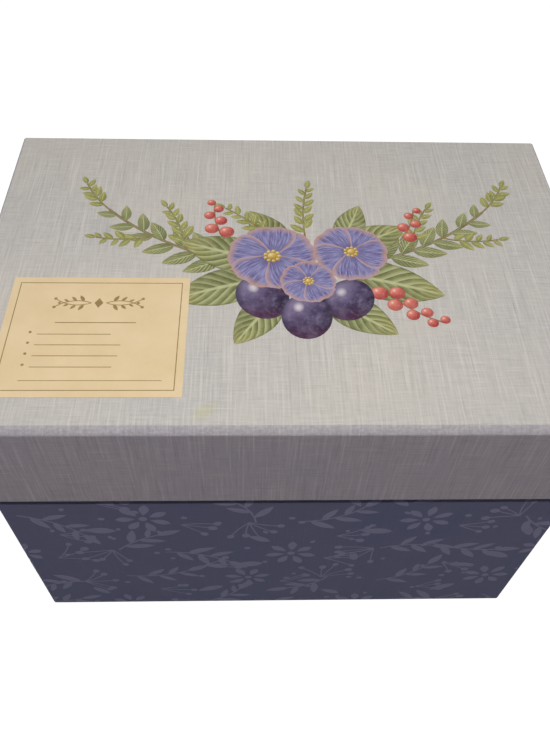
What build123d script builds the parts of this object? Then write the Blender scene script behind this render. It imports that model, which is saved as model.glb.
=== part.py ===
from build123d import *
import os
from math import cos, radians, sin, sqrt

# Recipe box with a hinged lid: greyboard panels wrapped in printed paper, made round
# standard recipe cards, with tabbed dividers, reference cards and a pen inside.
# Sizes are in millimetres. The front faces -Y, and the origin is on the floor under
# the middle of the closed box.

# Cards and dividers
card_width = 152.4
card_height = 101.6
card_thickness = 0.35
card_air = 0.05  # between two cards of one section
card_shuffle = 0.7  # how far sideways the cards stand from the middle, at most
shuffle_angle = 137.5  # turn from card to card of the wave that spreads them
divider_overhang = 0.8  # of a divider past a card, on each side
divider_thickness = 0.5
tab_width = 44.0
tab_height = 11.5
tab_slope = 76.0
tab_round = 2.5
tab_margin = 4.0
tab_places = 3
section_count = 9
cards_per_section = 4
reference_count = 6
rest_lean = 7.0
fan_step = 5.0  # how much further each section can lean forward than the one behind it
section_gap = 0.15
wall_rest_gap = 0.2
floor_rest_gap = 0.05

# Room left round the cards, and the lid's skirt
side_room = 3.2
head_room = 2.85  # above an upright divider's tab
inner_depth = 107.3
skirt_height = 35.0
lid_gap = 0.5  # between the lid's lining and the base's paper

# Boards, papers and lining card
board = 2.0
wrap_paper = 0.25
lining_card = 0.4
underside_paper = 0.25
stay_paper = 0.1  # gummed tape over the glued corners, under the wrap
strip_paper = 0.2  # the hinge's inner strip

# Rounded and folded edges
corner_round = 1.0  # upright corners of the base
foot_round = 0.75
lid_bevel = 1.9  # cut off the lid's front and back top edges at 45 degrees
side_bevel = 0.8  # the same along its two sides
lid_soften = 0.6  # rounding of the bevels and of the lid's upright corners
turn_in = 15.0  # wrap paper folded over a rim and down inside
turn_under = 12.0
bare_rim = 3.0  # turned-in paper that shows above the lining
underside_inset = 2.0
stay_leg = 12.0
stay_end_gap = 2.0

# Hinge
flap_gap = 0.3  # between the flap and the ends of the lid's side skirts
strip_inset = 3.0  # from the inner side walls to the strip's ends
strip_reach = 16.0  # the strip's lid leaf, measured from the back wall inwards

# Label stuck on the lid
label_width = 48.5
label_depth = 41.0
label_from_left = 10.4
label_from_front = 9.9
label_paper = 0.12

# Pen
pen_length = 126.0
pen_radius = 5.0
pen_wall = 0.8
pen_end_gap = 0.4
pen_wall_gap = 0.3
plug_length = 4.0
plug_stem = 8.0
plug_bevel = 1.6
cap_top = 4.0
cap_bevel = 0.9
cap_air = 0.2  # between the cap's bore and the grip
cap_end_room = 3.5
band_length = 1.5
grip_in_barrel = 8.0
grip_showing = 20.0
nose_length = 8.0
nose_wall = 0.6
refill_radius = 1.5
refill_air = 0.2
refill_play = 8.0
point_length = 6.0
point_radius = 0.35
point_in_nose = 1.5
fit_gap = 0.05
clip_length = 31.0
clip_width = 3.2
clip_thickness = 0.8
clip_lift = 1.0
clip_foot = 4.0
clip_from_end = 2.5

# Heights and faces that follow from the sizes above
divider_width = card_width + 2 * divider_overhang
wall = wrap_paper + board + lining_card
flap_thickness = wrap_paper + board
base_width = divider_width + 2 * (side_room + wall)
base_depth = inner_depth + 2 * wall
lid_width = base_width + 2 * (lid_gap + wall)
lid_depth = lid_gap + wall + base_depth + flap_thickness
base_low = underside_paper
floor_board_low = base_low + wrap_paper
floor_top = floor_board_low + board + lining_card
rim = floor_top + card_height + tab_height + head_room
top_underside = rim + lining_card
box_height = rim + wall
skirt_bottom = box_height - skirt_height
lid_x = (-lid_width / 2, lid_width / 2)
lid_y = (-lid_depth / 2, lid_depth / 2)
base_x = (-base_width / 2, base_width / 2)
base_y = (lid_y[1] - flap_thickness - base_depth, lid_y[1] - flap_thickness)
inner_x = (base_x[0] + wall, base_x[1] - wall)
inner_y = (base_y[0] + wall, base_y[1] - wall)
skirt_end = base_y[1] - flap_gap  # rear end of the lid's wrapped side skirts
beyond = 5.0  # how far a cutting block runs past what it cuts


def inset(span, by):
    """The span with both ends moved inwards."""
    return (span[0] + by, span[1] - by)


def span_box(x, y, z):
    """A block from its low and high coordinate along each axis."""
    centre = Pos((x[0] + x[1]) / 2, (y[0] + y[1]) / 2, (z[0] + z[1]) / 2)
    return centre * Box(x[1] - x[0], y[1] - y[0], z[1] - z[0])


def lid_envelope(depth_in):
    """The lid's outer form, bevelled and softened, with every face moved in by a depth."""
    z = (skirt_bottom + depth_in, box_height - depth_in)
    block = span_box(inset(lid_x, depth_in), inset(lid_y, depth_in), z)
    narrower = (2 - sqrt(2)) * depth_in
    long_edges = block.edges().group_by(Axis.Z)[-1].filter_by(Axis.X)
    block = chamfer(long_edges, lid_bevel - narrower)
    short_edges = block.edges().group_by(Axis.Z)[-1].filter_by(Axis.Y)
    block = chamfer(short_edges, side_bevel - narrower)
    return fillet(block.edges() - block.edges().group_by(Axis.Z)[0], lid_soften - depth_in)


def base_envelope(depth_in):
    """The base's outer form, with rounded corners and foot, with every face moved in by a depth."""
    z = (base_low + depth_in, rim - depth_in)
    block = span_box(inset(base_x, depth_in), inset(base_y, depth_in), z)
    block = fillet(block.edges().filter_by(Axis.Z), corner_round - depth_in)
    return fillet(block.edges().group_by(Axis.Z)[0], foot_round - depth_in)


def corner_stays(envelope, x, y, z, corners):
    """Thin tape strips folded round the upright board corners that are named."""
    skin = envelope(wrap_paper - stay_paper) - envelope(wrap_paper)
    posts = [
        span_box(
            (x[side_x] - stay_leg, x[side_x] + stay_leg),
            (y[side_y] - stay_leg, y[side_y] + stay_leg),
            z,
        )
        for side_x, side_y in corners
    ]
    return skin & (Part() + posts)


# Base tray


def base_boards():
    """The five greyboard panels of the base tray."""
    outer_x, outer_y = inset(base_x, wrap_paper), inset(base_y, wrap_paper)
    between_x, between_y = inset(outer_x, board), inset(outer_y, board)
    body = base_envelope(wrap_paper)
    tall = (floor_board_low, rim - wrap_paper)
    under_strip = (floor_board_low, rim - wrap_paper - strip_paper)
    return {
        "base_floor_board": span_box(between_x, between_y, (floor_board_low, floor_board_low + board)),
        "base_front_board": body & span_box(between_x, (outer_y[0], between_y[0]), tall),
        "base_back_board": body & span_box(between_x, (between_y[1], outer_y[1]), under_strip),
        "base_left_board": body & span_box((outer_x[0], between_x[0]), outer_y, tall),
        "base_right_board": body & span_box((between_x[1], outer_x[1]), outer_y, tall),
    }


def base_stays():
    """Corner tape on the four upright corners of the base."""
    heights = (base_low + foot_round + stay_end_gap, rim - wrap_paper - stay_end_gap)
    corners = [(0, 0), (1, 0), (0, 1), (1, 1)]
    return corner_stays(base_envelope, base_x, base_y, heights, corners)


def base_wrap(boards, stays, strip):
    """Printed paper round the base, turned in over the rim and under the floor."""
    board_inner_x = inset(base_x, wrap_paper + board)
    board_inner_y = inset(base_y, wrap_paper + board)
    turned_x, turned_y = inset(board_inner_x, wrap_paper), inset(board_inner_y, wrap_paper)
    hollow = span_box(board_inner_x, board_inner_y, (floor_board_low + board, rim - turn_in))
    mouth = span_box(turned_x, turned_y, (rim - turn_in, rim + beyond))
    underside = span_box(inset(base_x, turn_under), inset(base_y, turn_under), (0, floor_board_low))
    return base_envelope(0) - hollow - mouth - underside - list(boards.values()) - stays - strip


def base_lining(wrap, strip):
    """Lining card tray inside the base, rebated where it laps over the turned-in paper."""
    outer_x, outer_y = inset(base_x, wrap_paper + board), inset(base_y, wrap_paper + board)
    tray = span_box(outer_x, outer_y, (floor_top - lining_card, rim - bare_rim))
    return tray - span_box(inner_x, inner_y, (floor_top, rim)) - wrap - strip


def base_underside():
    """Paper pasted under the base, pressed level inside the turned-under border."""
    foot = span_box(inset(base_x, underside_inset), inset(base_y, underside_inset), (0, base_low))
    level = span_box(inset(base_x, turn_under), inset(base_y, turn_under), (base_low, floor_board_low))
    return foot + level


# Hinge between the base's back wall and the lid


def flap_board():
    """The lid's back skirt, glued to the outside of the base's back wall."""
    region = span_box(lid_x, (base_y[1], lid_y[1]), (skirt_bottom, rim - strip_paper))
    return lid_envelope(wrap_paper) & region


def flap_paper(board_piece, strip):
    """The lid's paper carried on down over the flap, below the crease that it hinges on."""
    region = span_box(lid_x, (base_y[1], lid_y[1]), (skirt_bottom, rim))
    return (lid_envelope(0) & region) - board_piece - strip


def hinge_strip_base():
    """Inner strip over the back rim and the flap's top edge, with a short leg down inside."""
    turned_face = base_y[1] - flap_thickness - wrap_paper
    x = inset(inner_x, strip_inset)
    over_rim = span_box(x, (turned_face - strip_paper, lid_y[1] - wrap_paper), (rim - strip_paper, rim))
    leg = span_box(x, (turned_face - strip_paper, turned_face), (rim - bare_rim, rim - strip_paper))
    return over_rim + leg


def hinge_strip_lid():
    """Inner strip's other leaf, pasted to the underside of the lid."""
    y = (inner_y[1] - strip_reach, lid_y[1] - wrap_paper)
    return span_box(inset(inner_x, strip_inset), y, (rim, rim + strip_paper))


# Lid


def lid_boards():
    """The lid's top panel and its front, left and right skirt panels."""
    outer_x, outer_y = inset(lid_x, wrap_paper), inset(lid_y, wrap_paper)
    between_x = inset(outer_x, board)
    behind_front = outer_y[0] + board
    skirt = (skirt_bottom, top_underside)
    sides_y = (behind_front, skirt_end - wrap_paper)
    body = lid_envelope(wrap_paper)
    return {
        "lid_top_board": body & span_box(outer_x, outer_y, (top_underside, box_height)),
        "lid_front_board": body & span_box(outer_x, (outer_y[0], behind_front), skirt),
        "lid_left_board": body & span_box((outer_x[0], between_x[0]), sides_y, skirt),
        "lid_right_board": body & span_box((between_x[1], outer_x[1]), sides_y, skirt),
    }


def lid_stays():
    """Corner tape on the two front corners of the lid."""
    heights = (skirt_bottom + wrap_paper + stay_end_gap, top_underside - stay_end_gap)
    return corner_stays(lid_envelope, lid_x, lid_y, heights, [(0, 0), (1, 0)])


def lid_wrap(boards, stays):
    """Printed paper over the lid, turned in round the skirts' lower edges and rear ends."""
    board_inner_x = inset(lid_x, flap_thickness)
    board_inner_front = lid_y[0] + flap_thickness
    back = lid_y[1] + beyond
    turned_top = skirt_bottom + turn_in
    mouth_y = (board_inner_front + wrap_paper, back)
    mouth = span_box(inset(board_inner_x, wrap_paper), mouth_y, (skirt_bottom - beyond, turned_top))
    hollow_y = (board_inner_front, lid_y[1] - wrap_paper)
    hollow = span_box(board_inner_x, hollow_y, (turned_top, top_underside))
    flap_room = span_box(inset(lid_x, -beyond), (skirt_end, back), (skirt_bottom - beyond, rim))
    return lid_envelope(0) - mouth - hollow - flap_room - list(boards.values()) - stays


def lid_lining(wrap, strip):
    """Lining card under the lid, rebated for the turned-in paper and the hinge strip."""
    x = inset(lid_x, flap_thickness)
    y = (lid_y[0] + flap_thickness, lid_y[1] - wrap_paper)
    skirt_end_y = skirt_end - wrap_paper
    tray = span_box(x, y, (skirt_bottom + bare_rim, top_underside))
    room_y = (y[0] + lining_card, lid_y[1])
    room = span_box(inset(x, lining_card), room_y, (skirt_bottom, rim))
    behind_skirts = span_box(lid_x, (skirt_end_y, lid_y[1]), (skirt_bottom, rim))
    return tray - room - behind_skirts - wrap - strip


def lid_label():
    """Paper label near the lid's front left corner."""
    left, front = lid_x[0] + label_from_left, lid_y[0] + label_from_front
    z = (box_height, box_height + label_paper)
    return span_box((left, left + label_width), (front, front + label_depth), z)


# Cards and dividers, built upright with their lower front edge on the X axis

card_pitch = card_thickness + card_air
section_depth = divider_thickness + cards_per_section * card_pitch
reference_depth = reference_count * card_pitch
furthest_lean = section_count * fan_step - rest_lean
section_pitch = max(section_depth, reference_depth) / cos(radians(furthest_lean)) + section_gap


def standing_sheet(outline, depth_back, thickness):
    """A sheet of that outline, standing upright that far behind the section's front edge."""
    return Pos(0, depth_back, 0) * extrude(Plane.XZ * outline, -thickness)


def card(depth_back, sideways):
    """One recipe card."""
    outline = Pos(sideways, card_height / 2) * Rectangle(card_width, card_height)
    return standing_sheet(outline, depth_back, card_thickness)


def divider(place):
    """A divider sheet with its tab at one of the places across the top."""
    span = divider_width - 2 * tab_margin - tab_width
    tab_x = -span / 2 + span * place / (tab_places - 1)
    sheet = Pos(0, card_height / 2) * Rectangle(divider_width, card_height)
    tab = Pos(tab_x, card_height + tab_height / 2) * Trapezoid(tab_width, tab_height, tab_slope)
    outline = sheet + tab
    outline = fillet(outline.vertices().group_by(Axis.Y)[-1], tab_round)
    return standing_sheet(outline, 0, divider_thickness)


def section_foot(number, depth):
    """Where a section's lower front edge stands: number 0 is the one at the back wall."""
    rear_reach = card_height * sin(radians(rest_lean)) + section_depth * cos(radians(rest_lean))
    y = inner_y[1] - wall_rest_gap - rear_reach - number * section_pitch
    z = floor_top + floor_rest_gap + depth * sin(radians(rest_lean))
    return y, z


def leaning(number, depth, piece):
    """A section's piece put in its place, leaning back."""
    y, z = section_foot(number, depth)
    return Pos(0, y, z) * Rot(-rest_lean, 0, 0) * piece


def card_stack(number, first_back, count, depth):
    """Separate cards behind each other, standing a little unevenly."""
    turns = [radians(shuffle_angle * (number + place)) for place in range(count)]
    shifts = [card_shuffle * cos(turn) for turn in turns]
    cards = [card(first_back + place * card_pitch, shift) for place, shift in enumerate(shifts)]
    return [leaning(number, depth, piece) for piece in cards]


def sections():
    """Every divider with the cards behind it, and the reference cards at the front."""
    nodes = {}
    for number in range(section_count):
        name = section_count - number
        nodes[f"divider_{name}"] = leaning(number, section_depth, divider((name - 1) % tab_places))
        stack = card_stack(number, divider_thickness + card_air, cards_per_section, section_depth)
        nodes[f"recipe_cards_{name}"] = Compound(children=stack)
    stack = card_stack(section_count, 0, reference_count, reference_depth)
    nodes["reference_cards"] = Compound(children=stack)
    return nodes


# Pen, built upright with its rear end at the origin

bore = pen_radius - pen_wall
grip_radius = bore - fit_gap
refill_bore = refill_radius + refill_air
point_showing = point_length - point_in_nose
cap_length = grip_showing + nose_length + point_showing + cap_end_room + cap_top
barrel_end = pen_length - cap_length
grip_end = barrel_end + grip_showing
nose_end = grip_end + nose_length
refill_end = nose_end - point_in_nose
cap_pull = cap_length - cap_top - cap_end_room


def rod(radius, low, high):
    """A round bar between two heights."""
    return Pos(0, 0, low) * Cylinder(radius, high - low, align=(Align.CENTER, Align.CENTER, Align.MIN))


def taper(low_radius, high_radius, low, high):
    """A cone frustum between two heights."""
    align = (Align.CENTER, Align.CENTER, Align.MIN)
    return Pos(0, 0, low) * Cone(low_radius, high_radius, high - low, align=align)


def pen_cap_clip():
    """The cap's spring clip: a flat arm with a foot on the cap and a bead at its free end."""
    end = pen_length - clip_from_end
    y = (-clip_width / 2, clip_width / 2)
    x = (-pen_radius - clip_lift - clip_thickness, -pen_radius - clip_lift)
    arm = span_box(x, y, (end - clip_length, end))
    foot = span_box((x[1], 0), y, (end - clip_foot, end)) - rod(pen_radius, 0, pen_length)
    bead = Pos(x[1], 0, end - clip_length + clip_width / 2) * Sphere(clip_lift - fit_gap)
    return arm + foot + bead


def pen_pieces():
    """The capped pen's pieces, upright."""
    plug = chamfer(rod(pen_radius, 0, plug_length).edges().group_by(Axis.Z)[0], plug_bevel)
    stem_end = plug_length + plug_stem
    cap = chamfer(rod(pen_radius, barrel_end, pen_length).edges().group_by(Axis.Z)[-1], cap_bevel)
    band_low = barrel_end - band_length
    grip = rod(grip_radius, barrel_end - grip_in_barrel, grip_end)
    nose = taper(grip_radius, refill_bore + nose_wall, grip_end, nose_end)
    return {
        "pen_barrel": rod(pen_radius, plug_length, band_low) - rod(bore, plug_length, band_low),
        "pen_end_plug": plug + rod(bore - fit_gap, plug_length, stem_end),
        "pen_band": rod(pen_radius, band_low, barrel_end) - rod(bore, band_low, barrel_end),
        "pen_grip": grip + nose - rod(refill_bore, barrel_end - grip_in_barrel, nose_end),
        "pen_refill": rod(refill_radius, stem_end + refill_play, refill_end),
        "pen_point": taper(refill_radius, point_radius, refill_end, refill_end + point_length),
        "pen_cap": cap - rod(grip_radius + cap_air, barrel_end, pen_length - cap_top),
        "pen_cap_clip": pen_cap_clip(),
    }


def pen():
    """The pen lying along the front wall, cap to the right and clip upwards."""
    x = inner_x[0] + pen_end_gap
    y = inner_y[0] + pen_wall_gap + pen_radius
    z = floor_top + floor_rest_gap + pen_radius
    lying = Pos(x, y, z) * Rot(0, 90, 0)
    return {name: lying * piece for name, piece in pen_pieces().items()}


def box_nodes():
    """Every piece of the box by name."""
    boards, stays, strip = base_boards(), base_stays(), hinge_strip_base()
    wrap = base_wrap(boards, stays, strip)
    top_boards, top_stays, top_strip = lid_boards(), lid_stays(), hinge_strip_lid()
    top_wrap = lid_wrap(top_boards, top_stays)
    flap = flap_board()
    return {
        **boards,
        "base_corner_stays": stays,
        "base_wrap_paper": wrap,
        "base_lining": base_lining(wrap, strip),
        "base_underside_sheet": base_underside(),
        "hinge_flap_board": flap,
        "hinge_flap_paper": flap_paper(flap, strip),
        "hinge_strip_base": strip,
        "hinge_strip_lid": top_strip,
        **top_boards,
        "lid_corner_stays": top_stays,
        "lid_wrap_paper": top_wrap,
        "lid_lining": lid_lining(top_wrap, top_strip),
        "lid_label": lid_label(),
    }


os.makedirs("parts", exist_ok=True)
for node, shape in {**box_nodes(), **sections(), **pen()}.items():
    export_step(shape, f"parts/{node}.step")

print(f"lid {lid_width:.2f} x {lid_depth:.2f}, height {box_height:.2f}")
print(f"hinge line at y {lid_y[1]:.3f}, z {rim:.3f}")
print(f"inside x {inner_x[0]:.2f} {inner_x[1]:.2f}, y {inner_y[0]:.2f} {inner_y[1]:.2f}, floor {floor_top:.2f}")
for number in range(section_count + 1):
    depth = reference_depth if number == section_count else section_depth
    foot_y, foot_z = section_foot(number, depth)
    print(f"section {section_count - number}: foot at y {foot_y:.3f}, z {foot_z:.3f}")
print(f"pen cap pulls off over {cap_pull:.2f}")
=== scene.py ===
"""Looks of a paper-wrapped recipe box: papers, printed designs, label, cards, pen and studio."""
import logging
import math
import random
from dataclasses import dataclass
from enum import Enum, IntEnum
from functools import cache, cached_property, partialmethod, reduce
from itertools import product
from typing import Callable, NamedTuple, Sequence, Union

import bmesh
import bpy
from mathutils import Matrix, Vector


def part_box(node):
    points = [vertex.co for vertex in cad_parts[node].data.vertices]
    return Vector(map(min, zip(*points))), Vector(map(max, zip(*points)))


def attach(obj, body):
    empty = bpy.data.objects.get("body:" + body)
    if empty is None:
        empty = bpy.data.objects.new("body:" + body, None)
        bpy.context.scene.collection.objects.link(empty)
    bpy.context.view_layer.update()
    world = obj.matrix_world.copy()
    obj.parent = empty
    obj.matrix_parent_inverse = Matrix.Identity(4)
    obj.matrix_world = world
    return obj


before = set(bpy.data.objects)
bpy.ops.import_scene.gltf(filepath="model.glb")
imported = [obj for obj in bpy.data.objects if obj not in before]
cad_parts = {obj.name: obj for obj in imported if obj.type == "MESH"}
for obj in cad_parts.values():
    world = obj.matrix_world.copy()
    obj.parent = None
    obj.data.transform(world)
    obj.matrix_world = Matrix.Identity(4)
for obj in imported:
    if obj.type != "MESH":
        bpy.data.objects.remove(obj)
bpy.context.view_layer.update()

MM = 0.001
TAU = 2 * math.pi
PHOTO_HEIGHT_PX = 733
WHITE = (1.0, 1.0, 1.0, 1.0)
Seen = tuple[int, int, int]
Colour = Union[Seen, tuple[float, float, float, float]]
Value = Union["Wire", float, Colour]
Key = Union[int, str]
Parts = Union[Sequence[Value], dict[Key, Value]]
Setting = Union[str, bool]
Rows = tuple[tuple[float, ...], ...]
Shape = bmesh.types.BMesh
Corner = tuple[bmesh.types.BMVert, float, float]

log = logging.getLogger("recipe_box")


def shade(seen: Seen) -> Colour:
    """Turns a colour as it is seen, 0 to 255, into the linear one that a shader mixes."""
    parts = [part / 255 for part in seen]
    return (*(p / 12.92 if p <= 0.04045 else ((p + 0.055) / 1.055) ** 2.4 for p in parts), 1.0)


class Wire:
    """A node's output. Sums with other wires and numbers add the nodes that work them out."""

    def __init__(self, bench: "Bench", socket: bpy.types.NodeSocket) -> None:
        """Starts a wire at an output in the bench's tree."""
        self.bench, self.socket = bench, socket

    def maths(self, operation: str, *others: Value) -> "Wire":
        """Works out a sum, by Blender's name for it, with this wire as its first part."""
        return self.bench.maths(operation, self, *others)

    __add__ = partialmethod(maths, "ADD")
    __sub__ = partialmethod(maths, "SUBTRACT")
    __mul__ = partialmethod(maths, "MULTIPLY")
    __truediv__ = partialmethod(maths, "DIVIDE")
    __abs__ = partialmethod(maths, "ABSOLUTE")
    most = partialmethod(maths, "MAXIMUM")

    def __rsub__(self, whole: float) -> "Wire":
        """Takes this wire from a number."""
        return self.bench.maths("SUBTRACT", whole, self)

    def reach(self, other: "Wire") -> "Wire":
        """Gives the distance that this and another wire make up at right angles."""
        return (self * self + other * other).maths("SQRT")

    def ramp(self, low: float, high: float, start: float = 0.0, end: float = 1.0) -> "Wire":
        """Maps the range from low to high onto start to end, and keeps within it."""
        return self.bench.wire("MapRange", (self, low, high, start, end), clamp=True)

    def noise(self, scale: float, detail: float = 2.0, roughness: float = 0.5) -> "Wire":
        """Gives smooth noise at this place, from 0 to 1 with a mean of one half."""
        parts = {"Vector": self, "Scale": scale, "Detail": detail, "Roughness": roughness}
        return self.bench.wire("TexNoise", parts)

    def bump(self, depth: float, strength: float = 1.0) -> "Wire":
        """Raises the surface by this height of 0 to 1 times a depth in metres."""
        return self.bench.wire("Bump", {"Height": self, "Distance": depth, "Strength": strength})


class Bench:
    """The node tree of a material or world, with a short way to each node that is used."""

    def __init__(self, owner: Union[bpy.types.Material, bpy.types.World]) -> None:
        """Empties the owner's tree.

        Args:
            owner: The material or world that is filled.
        """
        owner.use_nodes = True
        self.tree = owner.node_tree
        self.tree.nodes.clear()

    def node(self, kind: str, parts: Parts = (), **settings: Setting) -> bpy.types.Node:
        """Adds a node.

        Args:
            kind: Blender's name for its type, less the first word.
            parts: What feeds its inputs, in their order, or by number or name.
            settings: Properties to set on it.

        Returns:
            The new node.
        """
        made = self.tree.nodes.new("ShaderNode" + kind)
        for key, value in settings.items():
            setattr(made, key, value)
        for key, part in parts.items() if isinstance(parts, dict) else enumerate(parts):
            if isinstance(part, Wire):
                self.tree.links.new(part.socket, made.inputs[key])
            else:
                is_seen = isinstance(part, tuple) and len(part) == 3
                made.inputs[key].default_value = shade(part) if is_seen else part
        return made

    def wire(self, kind: str, parts: Parts = (), output: Key = 0, **settings: Setting) -> Wire:
        """Adds a node, and gives one of its outputs."""
        return Wire(self, self.node(kind, parts, **settings).outputs[output])

    @cached_property
    def point(self) -> Wire:
        """The surface point in the object's own coordinates."""
        return self.wire("TexCoord", output="Object")

    @cached_property
    def place(self) -> tuple[Wire, ...]:
        """The three parts of the surface point."""
        return self.split(self.point)

    @cached_property
    def facing(self) -> tuple[Wire, ...]:
        """The three parts of the surface's own normal, which turns with the object."""
        return self.split(self.wire("TexCoord", output="Normal"))

    def split(self, vector: Wire) -> tuple[Wire, ...]:
        """Splits a vector into its three parts."""
        return tuple(Wire(self, part) for part in self.node("SeparateXYZ", (vector,)).outputs)

    def join(self, *parts: Value) -> Wire:
        """Joins three parts into a vector."""
        return self.wire("CombineXYZ", parts)

    def maths(self, operation: str, *parts: Value) -> Wire:
        """Works out one sum of up to three parts, by Blender's name for it."""
        return self.wire("Math", parts, operation=operation)

    def choose(self, factor: Wire, first: Value, second: Value) -> Wire:
        """Blends two plain values."""
        return self.wire("Mix", {0: factor, 2: first, 3: second}, data_type="FLOAT")

    def wash(self, tone: Value, *layers: tuple[Union[Value, str], ...]) -> Wire:
        """Lays colours over one another.

        Args:
            tone: The lowest colour.
            layers: From the lowest up, how much of each shows, its colour and, where it isn't
                laid on plainly, Blender's name for the way it blends.

        Returns:
            The blended colour.
        """
        for amount, colour, *mode in layers:
            blend = mode[0] if mode else "MIX"
            parts = {0: amount, 6: tone, 7: colour}
            tone = self.wire("Mix", parts, 2, data_type="RGBA", blend_type=blend)
        return tone

    def threads(self, across: Wire, along: Wire, width: float, length: float, seed: float) -> Wire:
        """Gives uneven threads as noise. All sizes are in metres, and each seed has its own."""
        return self.join(across / width, along / length, seed).noise(1.0, 2.0, 0.6)

    def seen_by(self, *rays: str) -> Wire:
        """Gives 1 where a ray of one of these kinds arrives, by Blender's names, or else 0."""
        path = self.node("LightPath")
        return reduce(Wire.most, (Wire(self, path.outputs[f"Is {ray} Ray"]) for ray in rays))

    def surface(self, tone: Wire, roughness: Value, relief: Wire, **more: Value) -> None:
        """Ends the tree in a shader.

        Args:
            tone: Base colour.
            roughness: Roughness.
            relief: Bumped normal.
            more: Other inputs of the shader by name, with underscores for spaces.
        """
        parts = {"Base Color": tone, "Roughness": roughness, "Normal": relief}
        parts |= {key.replace("_", " "): value for key, value in more.items()}
        self.node("OutputMaterial", {"Surface": self.wire("BsdfPrincipled", parts)})


@dataclass(frozen=True)
class Finish:
    """A kind of surface. Each kind below fills a material's tree in its own way."""

    name: str

    def paint(self, bench: Bench) -> None:
        """Fills the material's tree."""
        raise NotImplementedError


@cache
def material(finish: Finish) -> bpy.types.Material:
    """Makes a finish's material at its first use, and gives it back from then on.

    Args:
        finish: Any of the finishes below.

    Returns:
        The material.
    """
    made = bpy.data.materials.new(finish.name)
    finish.paint(Bench(made))
    return made


def dress(finish: Finish, *names: str) -> None:
    """Puts a finish on some of the frame's solids.

    Args:
        finish: Their finish.
        names: The nodes' names.
    """
    for name in names:
        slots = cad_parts[name].data.materials
        slots.clear()
        slots.append(material(finish))
        log.info("dressed %s in %s", name, finish.name)


FOLD_TURN = 0.7071
PAPER_GLOSS = 0.15


class Slub(NamedTuple):
    """A set of thick threads: its noise's seed and range, its strength, its way and its tone."""

    seed: float
    low: float
    high: float
    strength: float
    is_weft: bool
    is_dark: bool


SLUBS = (
    Slub(11.0, 0.50, 0.74, 0.75, is_weft=False, is_dark=False),
    Slub(23.0, 0.53, 0.76, 0.50, is_weft=True, is_dark=False),
    Slub(37.0, 0.53, 0.76, 0.60, is_weft=False, is_dark=True),
    Slub(41.0, 0.55, 0.78, 0.40, is_weft=True, is_dark=True),
)


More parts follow.
